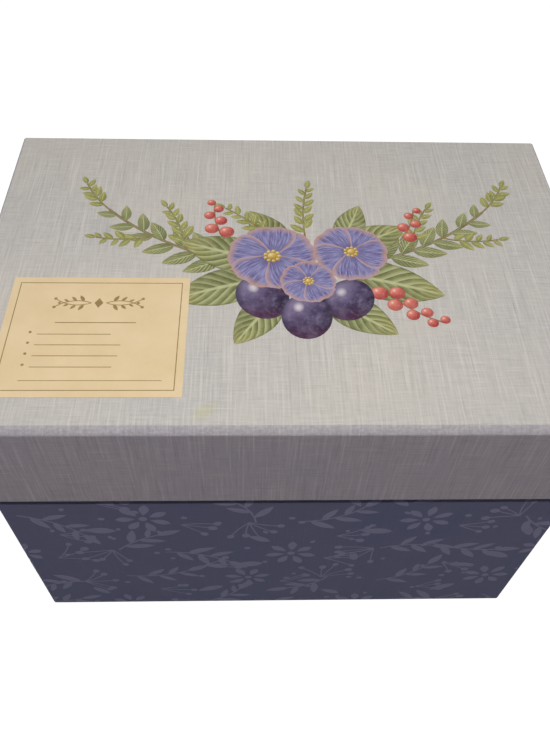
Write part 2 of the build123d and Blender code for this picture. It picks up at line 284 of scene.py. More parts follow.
@dataclass(frozen=True)
class LinenPaper(Finish):
    """Printed linen-look paper: slubby threads both ways over a soft ground, with an emboss.

    The threads are worked out on the unfolded sheet, so that they run on over a fold.
    """

    ground: Colour
    patch: Colour
    pale_thread: Colour
    dark_thread: Colour
    slub: float
    roughness: float
    worn_height: float
    worn: Colour
    worn_amount: float
    fold_front: float = 0.0
    fold_top: float = 0.0
    # Painted cool light: a bluish tint that the walls' colour is multiplied by.
    wall_cool_light_tint: Colour = WHITE
    # Painted shade: a darker, bluer tint that the folds' colour is multiplied by.
    fold_shade_tint: Colour = WHITE
    wall_slub: float = 1.0
    half_depth: float = 0.0
    fold_flat: float = 0.0
    fold_end: float = 0.0
    fold_drop: float = 0.1 * MM
    fold_speckle_scale: float = 1400.0
    mark_place: tuple[float, float] = (0.0, 0.0)
    mark_size: tuple[float, ...] = ()
    mark_tint: Colour = (0.99, 1.0, 0.84, 1.0)
    gloss: float = PAPER_GLOSS
    slub_width: float = 0.62 * MM
    slub_lengths: tuple[float, float] = (26 * MM, 13 * MM)
    thread_width: float = 0.34 * MM
    thread_length: float = 5 * MM
    thread_seeds: tuple[float, float] = (3.0, 7.0)
    fine_share: float = 0.45
    emboss: float = 0.05 * MM
    patch_scale: float = 26.0
    worn_scale: float = 420.0
    worn_band: float = 0.5 * MM

    def unfolded(self, bench: Bench) -> tuple[Wire, Wire]:
        """Gives the place on the flat sheet, across and along the box's depth.

        Args:
            bench: The tree that is filled.

        Returns:
            The two coordinates, in metres.
        """
        x, y, z = bench.place
        on_side, on_front = (
            abs(part).maths("GREATER_THAN", FOLD_TURN) for part in bench.facing[:2]
        )
        past_fold = z + (self.fold_front - self.fold_top)
        return bench.choose(on_side, x, z), bench.choose(on_front, y, past_fold)

    def colour(self, bench: Bench, ways: tuple[Wire, Wire], fine: Wire) -> Wire:
        """Gives the printed colour, with painted cool light on the walls and painted shade on the
        folds.

        Args:
            bench: The tree that is filled.
            ways: Place on the flat sheet, across and along.
            fine: Fine threads, warp less weft.

        Returns:
            The colour.
        """
        patches = bench.point.noise(self.patch_scale, 3.0, 0.55)
        tone = bench.wash(self.ground, (patches.ramp(0.36, 0.64), self.patch))
        upward = abs(bench.facing[2])
        plainer = upward.ramp(0.2, 0.75, self.wall_slub, 1.0)
        for slub in SLUBS:
            first, second = reversed(ways) if slub.is_weft else ways
            length = self.slub_lengths[slub.is_weft]
            streak = bench.threads(first, second, self.slub_width, length, slub.seed)
            amount = streak.ramp(slub.low, slub.high, 0.0, slub.strength * self.slub)
            thread = self.dark_thread if slub.is_dark else self.pale_thread
            tone = bench.wash(tone, (amount * plainer, thread))
        on_fold = upward.ramp(0.93, 0.8) * upward.ramp(0.1, 0.5)
        # Darker speckles, laid only on the folds' faces.
        fold_speckle = bench.point.noise(self.fold_speckle_scale, 1.0).ramp(0.42, 0.6, 0.0, 0.35)
        return bench.wash(
            tone,
            (fine.ramp(-0.25, 0.25, 0.0, self.fine_share * self.slub), self.pale_thread),
            # painted cool light: the walls made bluer
            (upward.ramp(0.75, 0.2), self.wall_cool_light_tint, "MULTIPLY"),
            (fold_speckle * on_fold, self.dark_thread),
            # painted shade: the folds made darker and bluer
            (on_fold, self.fold_shade_tint, "MULTIPLY"),
        )

    def wear(self, bench: Bench, tone: Wire) -> Wire:
        """Lightens the turned lower edge and the folds, where the print is rubbed.

        Args:
            bench: The tree that is filled.
            tone: The unworn colour.

        Returns:
            The colour with its wear.
        """
        rubbed = bench.point.noise(self.worn_scale, 3.0, 0.7).ramp(0.38, 0.62)
        band_top = self.worn_height + self.worn_band
        low_edge = bench.place[2].ramp(self.worn_height, band_top, 1.0, 0.0)
        sides = [abs(part) for part in bench.facing]
        folds = sides[0].most(sides[1]).most(sides[2]).ramp(0.72, 0.96, 0.2, 0.0)
        return bench.wash(tone, (low_edge.most(folds) * rubbed * self.worn_amount, self.worn))

    def marked(self, bench: Bench, tone: Wire) -> Wire:
        """Lays a faint slanting glue mark on the top face.

        Args:
            bench: The tree that is filled.
            tone: The clean colour.

        Returns:
            The colour with its mark.
        """
        x, y, z = bench.place
        aside, above = x - self.mark_place[0], y - self.mark_place[1]
        length, width = self.mark_size
        edge = bench.point.noise(self.worn_scale, 3.0, 0.6)
        reach = ((aside + above) / length).reach((aside - above) / width)
        spot = (reach + edge).ramp(0.9, 1.5, 1.0, 0.0)
        on_top = z.ramp(self.fold_top - 3 * MM, self.fold_top - 2 * MM)
        return bench.wash(tone, (spot * on_top, self.mark_tint, "MULTIPLY"))

    def rounding(self, bench: Bench) -> Wire:
        """Gives the slow turn of the sheet over the front and back folds, as a height.

        The turn grows over the flat of the fold and dies away where the solid itself is rounded.

        Args:
            bench: The tree that is filled.

        Returns:
            The height, in the emboss's depth.
        """
        _, y, z = bench.place
        out = abs(self.half_depth - abs(y) - (self.fold_top - z))
        growing = out.ramp(0.0, self.fold_flat)
        dying = out.ramp(self.fold_flat, self.fold_end, 1.0, 0.0)
        share = (self.fold_end - self.fold_flat) / self.fold_flat
        fall = growing * growing + (1.0 - dying * dying) * share
        on_long_fold = abs(bench.facing[0]).maths("LESS_THAN", 0.5)
        return fall * on_long_fold * (-self.fold_drop / self.emboss)

    def paint(self, bench: Bench) -> None:
        """Fills the material's tree.

        Args:
            bench: The tree that is filled.
        """
        ways = self.unfolded(bench)
        size = (self.thread_width, self.thread_length)
        warp = bench.threads(*ways, *size, self.thread_seeds[0])
        weft = bench.threads(*reversed(ways), *size, self.thread_seeds[1])
        tone = self.wear(bench, self.colour(bench, ways, warp - weft))
        if self.mark_size:
            tone = self.marked(bench, tone)
        height = warp + weft
        if self.fold_flat:
            height = height + self.rounding(bench)
        relief = height.bump(self.emboss)
        bench.surface(tone, self.roughness, relief, Specular_IOR_Level=self.gloss)


@dataclass(frozen=True)
class PlainPaper(Finish):
    """Uncoated paper or card: soft mottling, short fibres and a slight tooth."""

    colour: Colour
    mottle: Colour
    fibre: Colour
    roughness: float = 0.86
    mottle_scale: float = 90.0
    fibre_amount: float = 0.35
    fibre_scale: float = 700.0
    fibre_stretch: float = 5.0
    tooth_scale: float = 2600.0
    tooth: float = 0.02 * MM

    def paint(self, bench: Bench) -> None:
        """Fills the material's tree.

        Args:
            bench: The tree that is filled.
        """
        x, y, z = bench.place
        soft = bench.point.noise(self.mottle_scale, 4.0, 0.6).ramp(0.35, 0.68)
        strands = bench.join(x * self.fibre_stretch, y, z).noise(self.fibre_scale, 3.0, 0.7)
        fibres = strands.ramp(0.58, 0.74, 0.0, self.fibre_amount)
        tone = bench.wash(self.colour, (soft, self.mottle), (fibres, self.fibre))
        relief = bench.point.noise(self.tooth_scale, 2.0, 0.6).bump(self.tooth)
        bench.surface(tone, self.roughness, relief, Specular_IOR_Level=PAPER_GLOSS)


@dataclass(frozen=True)
class PrintInk(Finish):
    """Ink of one tint, printed thinly enough for the paper's weave to show through."""

    colour: Colour
    thin: Colour
    roughness: float
    weave: float = 0.42 * MM
    stretch: float = 0.12
    patchiness: float = 320.0
    tooth: float = 0.03 * MM
    gloss: float = PAPER_GLOSS

    def paint(self, bench: Bench) -> None:
        """Fills the material's tree.

        Args:
            bench: The tree that is filled.
        """
        x, y, z = bench.place
        upright = bench.join(x, y, z * self.stretch).noise(1 / self.weave)
        level = bench.join(x * self.stretch, y, z).noise(1 / self.weave)
        patches = bench.point.noise(self.patchiness, 3.0, 0.6)
        lost = patches.ramp(0.5, 0.78).most(level.ramp(0.56, 0.8)) * 0.6
        relief = (upright + level).bump(self.tooth)
        tone = bench.wash(self.colour, (lost, self.thin))
        bench.surface(tone, self.roughness, relief, Specular_IOR_Level=self.gloss)


class Stroke(Enum):
    """How a painted shape is shaded, by the name of the method that does it."""

    LEAF = "leaf"
    PETAL = "petal"
    FRUIT = "fruit"
    LINE = "line"


@dataclass(frozen=True)
class Painted(Finish):
    """Watercolour shading of one kind of printed shape, laid out on the shape's own UV map.

    A leaf, petal or stalk runs along U from 0 to 1 and across V from -1 to 1. A fruit fills a
    disc of radius 1 round the map's middle. The four shading methods take these two places.
    """

    stroke: Stroke
    dark: Colour
    body: Colour
    light: Colour
    accent: Colour
    veins: float = 8.0
    vein_slope: float = 2.4
    glint: Colour = (238, 230, 232)
    wash: float = 240.0
    roughness: float = 0.62
    tooth: float = 0.03 * MM
    weave: float = 0.45 * MM
    stretch: float = 0.1

    def leaf(self, along: Wire, across: Wire) -> Wire:
        """Shades a leaf: light midrib, slanting veins, a dark base and a thin dark rim.

        Args:
            along: Place from the stalk to the tip.
            across: Place from edge to edge.

        Returns:
            The colour.
        """
        out = abs(across)
        ripple = ((along - out * (self.vein_slope / self.veins)) * self.veins).maths("FRACT")
        return along.bench.wash(
            self.dark,
            (ripple.ramp(0.0, 0.75), self.body),
            (ripple.ramp(0.5, 1.0, 0.0, 0.7), self.light),
            (along.ramp(0.0, 0.45, 0.55, 0.0), self.dark),
            (along.ramp(0.6, 1.0, 0.0, 0.5), self.accent),
            (across.ramp(-0.15, 0.15, 0.3, 0.0), self.dark),
            (out.ramp(0.05, 0.11, 0.8, 0.0), self.light),
            (out.ramp(0.86, 0.98, 0.0, 0.65), self.dark),
        )

    def petal(self, along: Wire, across: Wire) -> Wire:
        """Shades a petal: fine rays from a dark throat, and a warm pale margin.

        Args:
            along: Place from the throat to the rim.
            across: Place from edge to edge.

        Returns:
            The colour.
        """
        out = abs(across)
        rays = along.bench.join(along * 2.2, across * 9.0, 0.0).noise(1.3, 3.0, 0.6)
        rim = along.ramp(0.80, 0.97).most(out.ramp(0.78, 0.97))
        return along.bench.wash(
            self.dark,
            (rays.ramp(0.36, 0.62), self.body),
            (rays.ramp(0.55, 0.72, 0.0, 0.6), self.light),
            (along.ramp(0.05, 0.42, 0.85, 0.0), self.dark),
            (out.ramp(0.0, 0.10, 0.45, 0.0), self.dark),
            (rim * 0.85, self.accent),
            (out.ramp(0.95, 0.99, 0.0, 0.5), self.light),
        )

    def fruit(self, along: Wire, across: Wire) -> Wire:
        """Shades a round fruit lit from the upper left, with a bloom, a dark foot and a glint.

        Args:
            along: Place from left to right, -1 to 1.
            across: Place from bottom to top, -1 to 1.

        Returns:
            The colour.
        """
        radius = along.reach(across)
        lit = across * 0.62 - along * 0.5 + radius * -0.35
        bloom = along.bench.join(along, across, 0.0).noise(3.4, 4.0, 0.65)
        from_glint = (along + 0.32).reach(across - 0.38)
        return along.bench.wash(
            self.dark,
            (lit.ramp(-0.75, 0.1), self.body),
            (lit.ramp(-0.1, 0.45, 0.0, 0.8), self.light),
            (bloom.ramp(0.5, 0.72, 0.0, 0.45), self.light),
            (radius.ramp(0.74, 0.98, 0.0, 0.75), self.dark),
            (across.ramp(-0.9, -0.3, 0.5, 0.0), self.accent),
            (from_glint.ramp(0.06, 0.24, 0.66, 0.0), self.glint),
        )

    def line(self, along: Wire, across: Wire) -> Wire:
        """Shades a stalk: light along its middle, dark at its edges, with knots.

        Args:
            along: Place along the stalk.
            across: Place across it.

        Returns:
            The colour.
        """
        knots = along.bench.join(along * 14.0, across, 0.0).noise(1.0, 3.0)
        edges = (abs(across).ramp(0.2, 0.95), self.dark)
        return along.bench.wash(self.light, edges, (knots.ramp(0.42, 0.66, 0.0, 0.8), self.accent))

    def paint(self, bench: Bench) -> None:
        """Fills the material's tree.

        Args:
            bench: The tree that is filled.
        """
        along, across, _ = bench.split(bench.wire("UVMap", output="UV", uv_map="shape"))
        wash = bench.point.noise(self.wash, 4.0, 0.65).ramp(0.40, 0.72, 0.0, 0.32)
        tone = bench.wash(getattr(self, self.stroke.value)(along, across), (wash, self.light))
        x, y, z = bench.place
        warp = bench.join(x, y * self.stretch, z).noise(1 / self.weave)
        weft = bench.join(x * self.stretch, y, z).noise(1 / self.weave)
        relief = (warp + weft).bump(self.tooth)
        bench.surface(tone, self.roughness, relief, Specular_IOR_Level=PAPER_GLOSS)


@dataclass(frozen=True)
class Moulded(Finish):
    """Moulded plastic or drawn metal with faint handling marks."""

    colour: Colour
    mark: Colour
    roughness: float
    metallic: float = 0.0
    coat: float = 0.0
    mark_scale: float = 260.0
    coat_roughness: float = 0.08
    drawn_scale: float = 9000.0
    drawn_stretch: float = 0.04
    drawn_depth: float = 0.004 * MM

    def paint(self, bench: Bench) -> None:
        """Fills the material's tree.

        Args:
            bench: The tree that is filled.
        """
        x, y, z = bench.place
        drawn = bench.join(x * self.drawn_stretch, y, z).noise(self.drawn_scale, 2.0, 0.7)
        marks = bench.point.noise(self.mark_scale, 4.0, 0.7)
        bench.surface(
            bench.wash(self.colour, (marks.ramp(0.52, 0.75, 0.0, 0.5), self.mark)),
            marks.ramp(0.4, 0.7, self.roughness, self.roughness + 0.14),
            drawn.bump(self.drawn_depth, 0.3),
            Metallic=self.metallic,
            Coat_Weight=self.coat,
            Coat_Roughness=self.coat_roughness,
        )


@dataclass(frozen=True)
class Box:
    """The lowest and highest corner of a node at rest, in metres."""

    low: Vector
    high: Vector

    def size(self) -> Vector:
        """Gives its width, depth and height, in millimetres."""
        return (self.high - self.low) / MM

    def middle(self) -> Vector:
        """Gives its middle, in metres."""
        return (self.low + self.high) / 2

    def on_top(self, spot: Vector) -> Vector:
        """Takes a spot of a sheet, in millimetres from its middle, to the top face."""
        return Vector((*self.middle().xy, self.high.z)) + spot * MM


LID = Box(*map(Vector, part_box("lid_wrap_paper")))
BASE = Box(*map(Vector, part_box("base_wrap_paper")))
LABEL = Box(*map(Vector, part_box("lid_label")))
LID_FOLD = 1.9 * MM
FOLD_SPARE = (1 - math.cos(math.pi / 4)) * 2

LID_PAPER = LinenPaper(
    "lid_linen_paper", (179, 178, 177), (188, 184, 178), (214, 210, 203), (150, 148, 150),
    slub=0.88,
    roughness=0.62,
    fold_front=LID.low.y + FOLD_SPARE * LID_FOLD,
    fold_top=LID.high.z,
    worn_height=LID.low.z,
    worn=(206, 204, 212),
    worn_amount=0.55,
    # Painted cool light on the walls.
    wall_cool_light_tint=(1.05, 0.99, 1.16, 1.0),
    # Painted shade on the folds.
    fold_shade_tint=(0.86, 0.855, 0.94, 1.0),
    wall_slub=1.4,
    half_depth=-LID.low.y,
    mark_place=(-21.5 * MM, -53.2 * MM),
    mark_size=(6.2 * MM, 3.4 * MM),
    fold_flat=LID_FOLD - 0.36 * MM,
    fold_end=LID_FOLD + 0.3 * MM,
)
BASE_PAPER = LinenPaper(
    "base_linen_paper", (115, 119, 152), (123, 122, 152), (142, 146, 177), (95, 99, 130),
    slub=0.3,
    roughness=0.58,
    worn_height=BASE.low.z,
    worn=(160, 158, 172),
    worn_amount=0.4,
    gloss=0.04,
)
BASE_INK = PrintInk("base_tonal_ink", (164, 163, 194), (148, 147, 179), 0.62, gloss=0.05)
LABEL_INK = PrintInk("label_brown_ink", (150, 128, 86), (182, 160, 116), 0.7, patchiness=900.0)
CARD_INK = PrintInk("card_blue_ink", (132, 142, 176), (168, 174, 196), 0.8, patchiness=900.0)

LABEL_PAPER = PlainPaper(
    "label_cream_paper", (226, 205, 167), (220, 197, 157), (232, 213, 181), 0.7
)
GREYBOARD = PlainPaper(
    "greyboard", (150, 145, 136), (134, 129, 120), (176, 170, 158), 0.9, 60.0, 0.6
)
LINING = PlainPaper("lining_card", (226, 217, 198), (219, 209, 188), (236, 229, 213))
TAPE = PlainPaper("gummed_tape", (178, 146, 106), (166, 134, 94), (196, 166, 128), 0.75)
UNDERSIDE = PlainPaper("underside_paper", (88, 90, 118), (80, 82, 110), (110, 112, 138))
STRIP = PlainPaper("hinge_strip_paper", (220, 210, 190), (211, 200, 178), (232, 224, 206), 0.8)
RECIPE_CARD = PlainPaper("recipe_card", (238, 231, 214), (232, 224, 205), (246, 241, 228))
REFERENCE_CARD = PlainPaper("reference_card", (222, 228, 218), (214, 221, 210), (232, 237, 228))
DIVIDER_CARDS = (
    PlainPaper("divider_card_blue", (142, 152, 184), (134, 144, 176), (158, 167, 196)),
    PlainPaper("divider_card_green", (166, 176, 138), (157, 167, 129), (180, 189, 154)),
    PlainPaper("divider_card_rose", (198, 152, 148), (189, 143, 139), (210, 168, 163)),
)
TAB_PANEL = PlainPaper("tab_panel_paper", (240, 234, 220), (234, 227, 211), (247, 243, 232))

PEN_BODY = Moulded("pen_body_plastic", (52, 58, 98), (64, 70, 110), 0.16, coat=0.6)
PEN_GRIP = Moulded("pen_grip_plastic", (44, 46, 56), (58, 60, 70), 0.42)
PEN_REFILL = Moulded("pen_refill_plastic", (214, 214, 208), (196, 196, 192), 0.3)
PEN_METAL = Moulded("pen_bright_metal", (206, 202, 192), (188, 184, 174), 0.14, metallic=1.0)
PEN_BRASS = Moulded("pen_point_brass", (206, 176, 112), (182, 150, 90), 0.22, metallic=1.0)


def added(name: str, data: bpy.types.ID) -> bpy.types.Object:
    """Adds an object to the scene.

    Args:
        name: Its name.
        data: Its mesh, lamp or camera.

    Returns:
        The object.
    """
    made = bpy.data.objects.new(name, data)
    bpy.context.scene.collection.objects.link(made)
    return made


def meshed(name: str, shape: Shape) -> bpy.types.Object:
    """Adds a mesh object to the scene.

    Args:
        name: Its name.
        shape: What it is made of, which is used up.

    Returns:
        The object.
    """
    data = bpy.data.meshes.new(name)
    shape.to_mesh(data)
    shape.free()
    return added(name, data)


def at(x: float, y: float, turn: float = 0.0) -> Matrix:
    """Gives a place on a sheet, in millimetres, with a leftward turn in degrees."""
    return Matrix.Translation((x, y, 0)) @ Matrix.Rotation(math.radians(turn), 4, "Z")


@dataclass
class PrintSheet:
    """Flat printed shapes, gathered in one mesh before they are laid on a face.

    Shapes are drawn in millimetres on the sheet's plane. Where a shape crosses earlier ones it
    lies just over them, so the order of drawing is the order that is seen. The seed settles the
    small unevenness of a design that looks drawn by hand.
    """

    seed: int = 0
    ink_height: float = 0.005
    cell: float = 1.0
    weld: float = 1e-5

    def __post_init__(self) -> None:
        """Starts an empty sheet."""
        self.chance = random.Random(self.seed)
        self.mesh = bmesh.new()
        self.mesh.loops.layers.uv.new("shape")
        self.carrier = bpy.data.meshes.new("print_carrier")
        self.covered: dict[tuple[int, int], int] = {}

    def cells(self, shape: Shape) -> set[tuple[int, int]]:
        """Gives the cells of the sheet that a shape reaches.

        Args:
            shape: The placed shape.

        Returns:
            Column and row of each cell.
        """
        reached = set()
        for face in shape.faces:
            spans = []
            for axis in (0, 1):
                steps = [math.floor(vert.co[axis] / self.cell) for vert in face.verts]
                spans.append(range(min(steps), max(steps) + 1))
            reached.update(product(*spans))
        return reached

    def lay(self, shape: Shape, place: Matrix, ink: int) -> None:
        """Adds a finished shape to the sheet, over what it crosses.

        Args:
            shape: The shape, which is used up.
            place: Where it goes and how it is turned.
            ink: Index of its material.
        """
        bmesh.ops.transform(shape, matrix=place, verts=shape.verts)
        reached = self.cells(shape)
        level = 1 + max(self.covered.get(cell, 0) for cell in reached)
        self.covered.update(dict.fromkeys(reached, level))
        bmesh.ops.translate(shape, vec=(0, 0, level * self.ink_height), verts=shape.verts)
        for face in shape.faces:
            face.material_index = ink
        shape.to_mesh(self.carrier)
        shape.free()
        self.mesh.from_mesh(self.carrier)

    def mapped(self, shape: Shape, spot: Callable[[Vector], tuple[float, float]]) -> None:
        """Gives a shape its map.

        Args:
            shape: The unplaced shape.
            spot: Takes a corner's place to its place on the map.
        """
        layer = shape.loops.layers.uv.new("shape")
        for loop in (loop for face in shape.faces for loop in face.loops):
            loop[layer].uv = spot(loop.vert.co)

    def blank(self, rows: int, columns: int) -> tuple[Shape, list[Corner]]:
        """Makes a plain grid with its map, to be drawn out into a shape.

        Args:
            rows: Steps along it.
            columns: Steps across it.

        Returns:
            The grid, and each vertex with its place along (0 to 1) and across (-1 to 1).
        """
        shape = bmesh.new()
        bmesh.ops.create_grid(shape, x_segments=rows, y_segments=columns, size=1.0)
        self.mapped(shape, lambda spot: ((spot.x + 1) / 2, spot.y))
        return shape, [(vert, (vert.co.x + 1) / 2, vert.co.y) for vert in shape.verts]

    def blade(
        self, place: Matrix, length: float, width: float, ink: int = 0,
        fullness: float = 0.86, curl: float = 0.0, rows: int = 10,
    ) -> None:
        """Draws a leaf or narrow petal that grows from its place along X.

        Args:
            place: Where its foot is and how it is turned.
            length: From foot to tip.
            width: At its widest.
            ink: Index of its material.
            fullness: Over 1 for widest near the tip, under 1 for widest near the foot.
            curl: How far the tip swings sideways, as a share of the length.
            rows: Steps along the length.
        """
        shape, points = self.blank(rows, 4)
        for vert, along, across in points:
            outline = math.sin(math.pi * along**fullness) ** 0.82
            vert.co.x = length * along
            vert.co.y = width / 2 * outline * across + length * curl * along**2
        bmesh.ops.remove_doubles(shape, verts=shape.verts, dist=self.weld)
        self.lay(shape, place, ink)

    def petal(self, place: Matrix, length: float, width: float, ink: int) -> None:
        """Draws a broad, round-ended petal with a slightly wavy rim.

        Args:
            place: Where its foot is and how it is turned.
            length: From foot to rim.
            width: At its widest.
            ink: Index of its material.
        """
        shape, points = self.blank(12, 10)
        for vert, along, across in points:
            notch = 0.06 * (1 - min(1.0, abs(across) * 3))
            rim = 1 - 0.24 * across**2 - notch + 0.015 * math.sin(across * 14)
            flare = 0.16 + 0.84 * math.sin(math.pi / 2 * min(1.0, along * 1.18)) ** 1.25
            vert.co.x = length * along * rim
            vert.co.y = width / 2 * flare * across
        self.lay(shape, place, ink)

    def disc(
        self, place: Matrix, width: float, height: float, ink: int = 0, sides: int = 24
    ) -> None:
        """Draws a round or oval spot, whose map stays upright.

        Args:
            place: Where its middle is and how it is turned.
            width: Along its own X.
            height: Along its own Y.
            ink: Index of its material.
            sides: Steps round it.
        """
        shape = bmesh.new()
        bmesh.ops.create_circle(shape, cap_ends=True, segments=sides, radius=1.0)
        turn = place.to_3x3()
        self.mapped(shape, lambda spot: (turn @ spot).xy)
        bmesh.ops.scale(shape, vec=(width / 2, height / 2, 1), verts=shape.verts)
        self.lay(shape, place, ink)

    def stalk(
        self, place: Matrix, length: float, bend: float, width: float, ink: int = 0, steps: int = 12
    ) -> list[Matrix]:
        """Draws a stalk that leaves its place along X and bends evenly.

        Args:
            place: Where it starts and how it is turned.
            length: Along its middle line.
            bend: How far it turns in all, in radians, leftwards when positive.
            width: How thick it is.
            ink: Index of its material.
            steps: How many straight steps it has.

        Returns:
            The places at its steps, each turned along the stalk.
        """
        radius = length / bend
        centre = Vector((0, radius, 0))
        shape = bmesh.new()
        ends = [shape.verts.new((0, side * width / 2, 0)) for side in (-1, 1)]
        line = shape.edges.new(ends)
        bmesh.ops.spin(
            shape, geom=[*ends, line], cent=centre, axis=(0, 0, 1), angle=bend, steps=steps
        )
        self.mapped(
            shape,
            lambda spot: (spot.x / length, (abs(radius) - (spot - centre).length) / (width / 2)),
        )
        self.lay(shape, place, ink)
        turns = [bend * step / steps for step in range(steps + 1)]
        return [
            place
            @ at(radius * math.sin(turn), radius * (1 - math.cos(turn)))
            @ Matrix.Rotation(turn, 4, "Z")
            for turn in turns
        ]

    def stroke(
        self, start: tuple[float, float], end: tuple[float, float], width: float, ink: int = 0
    ) -> None:
        """Draws a straight line.

        Args:
            start: Its first end on the sheet.
            end: Its other end.
            width: How thick it is.
            ink: Index of its material.
        """
        first, last = Vector((*start, 0)), Vector((*end, 0))
        run = last - first
        shape, points = self.blank(1, 1)
        for vert, along, across in points:
            vert.co.x, vert.co.y = run.length * (along - 0.5), width / 2 * across
        turn = Matrix.Rotation(math.atan2(run.y, run.x), 4, "Z")
        self.lay(shape, Matrix.Translation((first + last) / 2) @ turn, ink)

    def cut(self, place: Sequence[float], outward: Sequence[float], remove: bool = True) -> None:
        """Divides the shapes along a straight line.

        Args:
            place: A spot on the line.
            outward: The way that looks away from the kept side.
            remove: Whether the outer side is cut away.
        """
        everything = self.mesh.verts[:] + self.mesh.edges[:] + self.mesh.faces[:]
        bmesh.ops.bisect_plane(
            self.mesh, geom=everything, plane_co=place, plane_no=outward, clear_outer=remove
        )

    def thicken(self) -> None:
        """Gives each shape its thin closed body of ink, down to the paper."""
        made = bmesh.ops.extrude_face_region(
            self.mesh, geom=self.mesh.faces[:], use_keep_orig=True
        )
        for vert in (item for item in made["geom"] if isinstance(item, bmesh.types.BMVert)):
            vert.co.z = 0.0
        bmesh.ops.recalc_face_normals(self.mesh, faces=self.mesh.faces)

    def piece(
        self, name: str, body: str, inks: Sequence[Finish], put: Callable[[Vector], Vector]
    ) -> None:
        """Thickens the shapes and finishes the sheet as a piece of the box.

        Args:
            name: The piece's name.
            body: The body that it rides on.
            inks: Its finishes, in the order of their indices.
            put: Takes a point of the sheet, in millimetres, to its place on the box, in metres.
        """
        self.thicken()
        for vert in self.mesh.verts:
            vert.co = put(vert.co)
        made = meshed(name, self.mesh)
        bpy.data.meshes.remove(self.carrier)
        for ink in inks:
            made.data.materials.append(material(ink))
        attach(made, body)
        log.info("printed %s with %d faces", name, len(made.data.polygons))


class SprayInk(IntEnum):
    """The inks of the lid's spray, by their place in its list of materials."""

    LEAF = 0
    SPRIG = 1
    PETAL = 2
    PLUM = 3
    CURRANT = 4
    HEART = 5
    STALK = 6


SPRAY_FINISHES = {
    SprayInk.LEAF: Painted(
        "spray_leaf_green", Stroke.LEAF, (92, 98, 62), (142, 148, 98), (190, 192, 148),
        (176, 168, 104),
    ),
    SprayInk.SPRIG: Painted(
        "spray_sprig_olive", Stroke.LEAF, (104, 108, 60), (158, 160, 92), (200, 198, 138),
        (186, 172, 96), veins=3.0,
    ),
    SprayInk.PETAL: Painted(
        "spray_petal_blue", Stroke.PETAL, (94, 88, 132), (140, 138, 184), (172, 170, 206),
        (188, 150, 134),
    ),
    SprayInk.PLUM: Painted(
        "spray_plum", Stroke.FRUIT, (46, 36, 60), (78, 64, 98), (146, 136, 168), (96, 52, 78)
    ),
    SprayInk.CURRANT: Painted(
        "spray_currant", Stroke.FRUIT, (152, 58, 62), (200, 98, 90), (232, 162, 142), (172, 66, 72)
    ),
    SprayInk.HEART: Painted(
        "spray_flower_heart", Stroke.FRUIT, (150, 116, 48), (204, 172, 84), (232, 214, 140),
        (160, 120, 56),
    ),
    SprayInk.STALK: Painted(
        "spray_stalk", Stroke.LINE, (96, 82, 54), (126, 112, 72), (158, 148, 100), (128, 96, 70)
    ),
}


